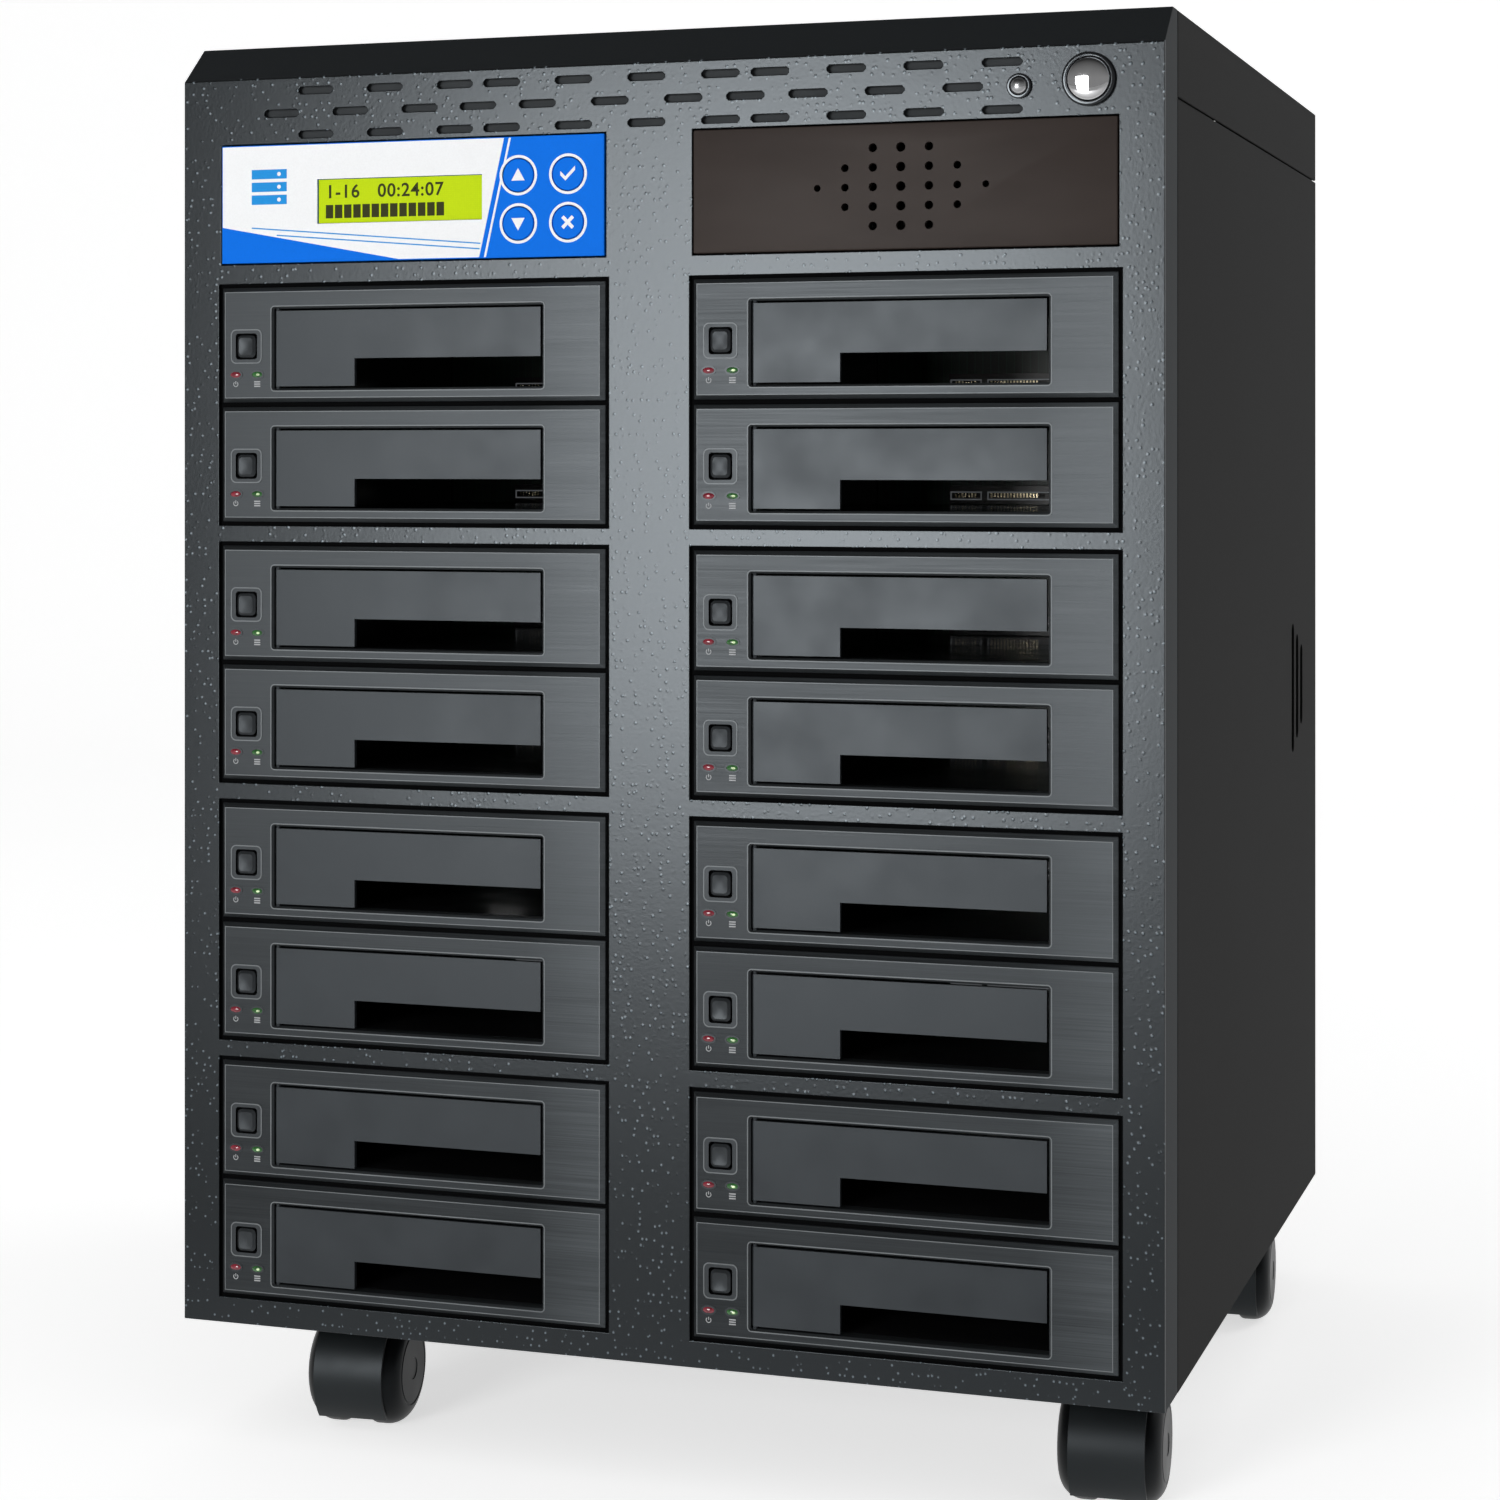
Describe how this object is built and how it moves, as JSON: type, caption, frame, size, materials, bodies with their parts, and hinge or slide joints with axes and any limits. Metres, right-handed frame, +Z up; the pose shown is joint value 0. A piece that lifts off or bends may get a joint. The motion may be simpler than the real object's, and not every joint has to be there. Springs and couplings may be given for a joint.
{
  "type": "drive duplicator",
  "caption": "Floor-standing hard drive copier: a dark steel tower on twin-wheel casters, with hinged drive bays, a keypad and display panel, and a power switch.",
  "frame": {"origin": "on the floor, under the middle of the whole object's outline", "axes": "+X to the right seen from the front, +Y from the front face into the cabinet, +Z up"},
  "size_m": [0.36, 0.3604, 0.506],
  "materials": {
    "powder_coat": "hammer textured powder coat, satin",
    "side_paint": "fine matt powder coat",
    "chassis_coat": "dark powder coat, satin",
    "cage_coat": "black lacquer, half gloss",
    "zinc_steel": "zinc plated sheet",
    "bezel_plastic": "dark grey moulding with a brushed look",
    "door_plastic": "plain satin dark grey",
    "button_plastic": "satin dark grey",
    "board_green": "printed circuit board",
    "lens_clear": "clear light pipe",
    "panel_blue": "printed blue and white overlay",
    "key_white": "blue key with a white ring",
    "smoked_plastic": "smoked brown, glossy",
    "switch_black": "black ring",
    "chrome_cap": "polished dome",
    "caster_plastic": "black nylon",
    "wheel_plastic": "black, hard tread",
    "fan_plastic": "black glass-filled plastic"
  },
  "bodies": {
    "cabinet": {"front_panel": "powder_coat", "top_cover": "side_paint", "side_panels": "side_paint", "chassis": "chassis_coat", "rack_bezels": "bezel_plastic", "rack_cages": "cage_coat", "rack_backplanes": "board_green", "indicator_lamps": "lens_clear", "control_panel": "panel_blue", "control_board": "board_green", "vent_plate": "smoked_plastic", "power_switch_body": "switch_black", "power_supply": "zinc_steel", "rear_fan": "fan_plastic"},
    "caster_front_left": {"caster_hood_front_left": "caster_plastic"},
    "caster_front_right": {"caster_hood_front_right": "caster_plastic"},
    "caster_rear_left": {"caster_hood_rear_left": "caster_plastic"},
    "caster_rear_right": {"caster_hood_rear_right": "caster_plastic"},
    "wheels_front_left": {"caster_wheels_front_left": "wheel_plastic"},
    "wheels_front_right": {"caster_wheels_front_right": "wheel_plastic"},
    "wheels_rear_left": {"caster_wheels_rear_left": "wheel_plastic"},
    "wheels_rear_right": {"caster_wheels_rear_right": "wheel_plastic"},
    "fan_rotor": {"fan_rotor": "fan_plastic"},
    "power_button": {"power_button": "chrome_cap"},
    "key_up": {"key_up": "key_white"},
    "key_down": {"key_down": "key_white"},
    "key_enter": {"key_enter": "key_white"},
    "key_back": {"key_back": "key_white"},
    "drive_door_01": {"drive_door_01": "door_plastic"},
    "drive_door_02": {"drive_door_02": "door_plastic"},
    "drive_door_03": {"drive_door_03": "door_plastic"},
    "drive_door_04": {"drive_door_04": "door_plastic"},
    "drive_door_05": {"drive_door_05": "door_plastic"},
    "drive_door_06": {"drive_door_06": "door_plastic"},
    "drive_door_07": {"drive_door_07": "door_plastic"},
    "drive_door_08": {"drive_door_08": "door_plastic"},
    "drive_door_09": {"drive_door_09": "door_plastic"},
    "drive_door_10": {"drive_door_10": "door_plastic"},
    "drive_door_11": {"drive_door_11": "door_plastic"},
    "drive_door_12": {"drive_door_12": "door_plastic"},
    "drive_door_13": {"drive_door_13": "door_plastic"},
    "drive_door_14": {"drive_door_14": "door_plastic"},
    "drive_door_15": {"drive_door_15": "door_plastic"},
    "drive_door_16": {"drive_door_16": "door_plastic"},
    "rack_button_01": {"rack_button_01": "button_plastic"},
    "rack_button_02": {"rack_button_02": "button_plastic"},
    "rack_button_03": {"rack_button_03": "button_plastic"},
    "rack_button_04": {"rack_button_04": "button_plastic"},
    "rack_button_05": {"rack_button_05": "button_plastic"},
    "rack_button_06": {"rack_button_06": "button_plastic"},
    "rack_button_07": {"rack_button_07": "button_plastic"},
    "rack_button_08": {"rack_button_08": "button_plastic"},
    "rack_button_09": {"rack_button_09": "button_plastic"},
    "rack_button_10": {"rack_button_10": "button_plastic"},
    "rack_button_11": {"rack_button_11": "button_plastic"},
    "rack_button_12": {"rack_button_12": "button_plastic"},
    "rack_button_13": {"rack_button_13": "button_plastic"},
    "rack_button_14": {"rack_button_14": "button_plastic"},
    "rack_button_15": {"rack_button_15": "button_plastic"},
    "rack_button_16": {"rack_button_16": "button_plastic"}
  },
  "joints": [
    {"name": "caster_swivel_front_left", "type": "hinge", "parent": "cabinet", "child": "caster_front_left", "pos_m": [-0.126, -0.1255, 0.0495], "axis": [0, 0, 1], "continuous": true},
    {"name": "caster_swivel_front_right", "type": "hinge", "parent": "cabinet", "child": "caster_front_right", "pos_m": [0.155, -0.1255, 0.0495], "axis": [0, 0, 1], "continuous": true},
    {"name": "caster_swivel_rear_left", "type": "hinge", "parent": "cabinet", "child": "caster_rear_left", "pos_m": [-0.126, 0.1115, 0.0495], "axis": [0, 0, 1], "continuous": true},
    {"name": "caster_swivel_rear_right", "type": "hinge", "parent": "cabinet", "child": "caster_rear_right", "pos_m": [0.155, 0.1115, 0.0495], "axis": [0, 0, 1], "continuous": true},
    {"name": "wheel_spin_front_left", "type": "hinge", "parent": "caster_front_left", "child": "wheels_front_left", "pos_m": [-0.12469, -0.14044, 0.02], "axis": [0.9962, 0.0872, 0], "continuous": true},
    {"name": "wheel_spin_front_right", "type": "hinge", "parent": "caster_front_right", "child": "wheels_front_right", "pos_m": [0.15579, -0.14048, 0.02], "axis": [0.9986, 0.0523, 0], "continuous": true},
    {"name": "wheel_spin_rear_left", "type": "hinge", "parent": "caster_rear_left", "child": "wheels_rear_left", "pos_m": [-0.12469, 0.09656, 0.02], "axis": [0.9962, 0.0872, 0], "continuous": true},
    {"name": "wheel_spin_rear_right", "type": "hinge", "parent": "caster_rear_right", "child": "wheels_rear_right", "pos_m": [0.15579, 0.09652, 0.02], "axis": [0.9986, 0.0523, 0], "continuous": true},
    {"name": "fan_spin", "type": "hinge", "parent": "cabinet", "child": "fan_rotor", "pos_m": [0.06, 0.16, 0.33], "axis": [0, 1, 0], "continuous": true},
    {"name": "power_button_push", "type": "slide", "parent": "cabinet", "child": "power_button", "axis": [0, 1, 0], "range_m": [0, 0.002], "stiffness_N_per_m": 400},
    {"name": "key_up_push", "type": "slide", "parent": "cabinet", "child": "key_up", "axis": [0, 1, 0], "range_m": [0, 0.0006], "stiffness_N_per_m": 400},
    {"name": "key_down_push", "type": "slide", "parent": "cabinet", "child": "key_down", "axis": [0, 1, 0], "range_m": [0, 0.0006], "stiffness_N_per_m": 400},
    {"name": "key_enter_push", "type": "slide", "parent": "cabinet", "child": "key_enter", "axis": [0, 1, 0], "range_m": [0, 0.0006], "stiffness_N_per_m": 400},
    {"name": "key_back_push", "type": "slide", "parent": "cabinet", "child": "key_back", "axis": [0, 1, 0], "range_m": [0, 0.0006], "stiffness_N_per_m": 400},
    {"name": "door_hinge_01", "type": "hinge", "parent": "cabinet", "child": "drive_door_01", "pos_m": [-0.1422, -0.1781, 0.3952], "axis": [0, 0, -1], "range_deg": [0, 95]},
    {"name": "door_hinge_02", "type": "hinge", "parent": "cabinet", "child": "drive_door_02", "pos_m": [-0.1422, -0.1781, 0.3521], "axis": [0, 0, -1], "range_deg": [0, 95]},
    {"name": "door_hinge_03", "type": "hinge", "parent": "cabinet", "child": "drive_door_03", "pos_m": [-0.1422, -0.1781, 0.302], "axis": [0, 0, -1], "range_deg": [0, 95]},
    {"name": "door_hinge_04", "type": "hinge", "parent": "cabinet", "child": "drive_door_04", "pos_m": [-0.1422, -0.1781, 0.2589], "axis": [0, 0, -1], "range_deg": [0, 95]},
    {"name": "door_hinge_05", "type": "hinge", "parent": "cabinet", "child": "drive_door_05", "pos_m": [-0.1422, -0.1781, 0.2088], "axis": [0, 0, -1], "range_deg": [0, 95]},
    {"name": "door_hinge_06", "type": "hinge", "parent": "cabinet", "child": "drive_door_06", "pos_m": [-0.1422, -0.1781, 0.1657], "axis": [0, 0, -1], "range_deg": [0, 95]},
    {"name": "door_hinge_07", "type": "hinge", "parent": "cabinet", "child": "drive_door_07", "pos_m": [-0.1422, -0.1781, 0.1156], "axis": [0, 0, -1], "range_deg": [0, 95]},
    {"name": "door_hinge_08", "type": "hinge", "parent": "cabinet", "child": "drive_door_08", "pos_m": [-0.1422, -0.1781, 0.0725], "axis": [0, 0, -1], "range_deg": [0, 95]},
    {"name": "door_hinge_09", "type": "hinge", "parent": "cabinet", "child": "drive_door_09", "pos_m": [0.0386, -0.1781, 0.3952], "axis": [0, 0, -1], "range_deg": [0, 95]},
    {"name": "door_hinge_10", "type": "hinge", "parent": "cabinet", "child": "drive_door_10", "pos_m": [0.0386, -0.1781, 0.3521], "axis": [0, 0, -1], "range_deg": [0, 95]},
    {"name": "door_hinge_11", "type": "hinge", "parent": "cabinet", "child": "drive_door_11", "pos_m": [0.0386, -0.1781, 0.302], "axis": [0, 0, -1], "range_deg": [0, 95]},
    {"name": "door_hinge_12", "type": "hinge", "parent": "cabinet", "child": "drive_door_12", "pos_m": [0.0386, -0.1781, 0.2589], "axis": [0, 0, -1], "range_deg": [0, 95]},
    {"name": "door_hinge_13", "type": "hinge", "parent": "cabinet", "child": "drive_door_13", "pos_m": [0.0386, -0.1781, 0.2088], "axis": [0, 0, -1], "range_deg": [0, 95]},
    {"name": "door_hinge_14", "type": "hinge", "parent": "cabinet", "child": "drive_door_14", "pos_m": [0.0386, -0.1781, 0.1657], "axis": [0, 0, -1], "range_deg": [0, 95]},
    {"name": "door_hinge_15", "type": "hinge", "parent": "cabinet", "child": "drive_door_15", "pos_m": [0.0386, -0.1781, 0.1156], "axis": [0, 0, -1], "range_deg": [0, 95]},
    {"name": "door_hinge_16", "type": "hinge", "parent": "cabinet", "child": "drive_door_16", "pos_m": [0.0386, -0.1781, 0.0725], "axis": [0, 0, -1], "range_deg": [0, 95]},
    {"name": "rack_button_push_01", "type": "slide", "parent": "cabinet", "child": "rack_button_01", "axis": [0, 1, 0], "range_m": [0, 0.0015], "stiffness_N_per_m": 300},
    {"name": "rack_button_push_02", "type": "slide", "parent": "cabinet", "child": "rack_button_02", "axis": [0, 1, 0], "range_m": [0, 0.0015], "stiffness_N_per_m": 300},
    {"name": "rack_button_push_03", "type": "slide", "parent": "cabinet", "child": "rack_button_03", "axis": [0, 1, 0], "range_m": [0, 0.0015], "stiffness_N_per_m": 300},
    {"name": "rack_button_push_04", "type": "slide", "parent": "cabinet", "child": "rack_button_04", "axis": [0, 1, 0], "range_m": [0, 0.0015], "stiffness_N_per_m": 300},
    {"name": "rack_button_push_05", "type": "slide", "parent": "cabinet", "child": "rack_button_05", "axis": [0, 1, 0], "range_m": [0, 0.0015], "stiffness_N_per_m": 300},
    {"name": "rack_button_push_06", "type": "slide", "parent": "cabinet", "child": "rack_button_06", "axis": [0, 1, 0], "range_m": [0, 0.0015], "stiffness_N_per_m": 300},
    {"name": "rack_button_push_07", "type": "slide", "parent": "cabinet", "child": "rack_button_07", "axis": [0, 1, 0], "range_m": [0, 0.0015], "stiffness_N_per_m": 300},
    {"name": "rack_button_push_08", "type": "slide", "parent": "cabinet", "child": "rack_button_08", "axis": [0, 1, 0], "range_m": [0, 0.0015], "stiffness_N_per_m": 300},
    {"name": "rack_button_push_09", "type": "slide", "parent": "cabinet", "child": "rack_button_09", "axis": [0, 1, 0], "range_m": [0, 0.0015], "stiffness_N_per_m": 300},
    {"name": "rack_button_push_10", "type": "slide", "parent": "cabinet", "child": "rack_button_10", "axis": [0, 1, 0], "range_m": [0, 0.0015], "stiffness_N_per_m": 300},
    {"name": "rack_button_push_11", "type": "slide", "parent": "cabinet", "child": "rack_button_11", "axis": [0, 1, 0], "range_m": [0, 0.0015], "stiffness_N_per_m": 300},
    {"name": "rack_button_push_12", "type": "slide", "parent": "cabinet", "child": "rack_button_12", "axis": [0, 1, 0], "range_m": [0, 0.0015], "stiffness_N_per_m": 300},
    {"name": "rack_button_push_13", "type": "slide", "parent": "cabinet", "child": "rack_button_13", "axis": [0, 1, 0], "range_m": [0, 0.0015], "stiffness_N_per_m": 300},
    {"name": "rack_button_push_14", "type": "slide", "parent": "cabinet", "child": "rack_button_14", "axis": [0, 1, 0], "range_m": [0, 0.0015], "stiffness_N_per_m": 300},
    {"name": "rack_button_push_15", "type": "slide", "parent": "cabinet", "child": "rack_button_15", "axis": [0, 1, 0], "range_m": [0, 0.0015], "stiffness_N_per_m": 300},
    {"name": "rack_button_push_16", "type": "slide", "parent": "cabinet", "child": "rack_button_16", "axis": [0, 1, 0], "range_m": [0, 0.0015], "stiffness_N_per_m": 300}
  ]
}
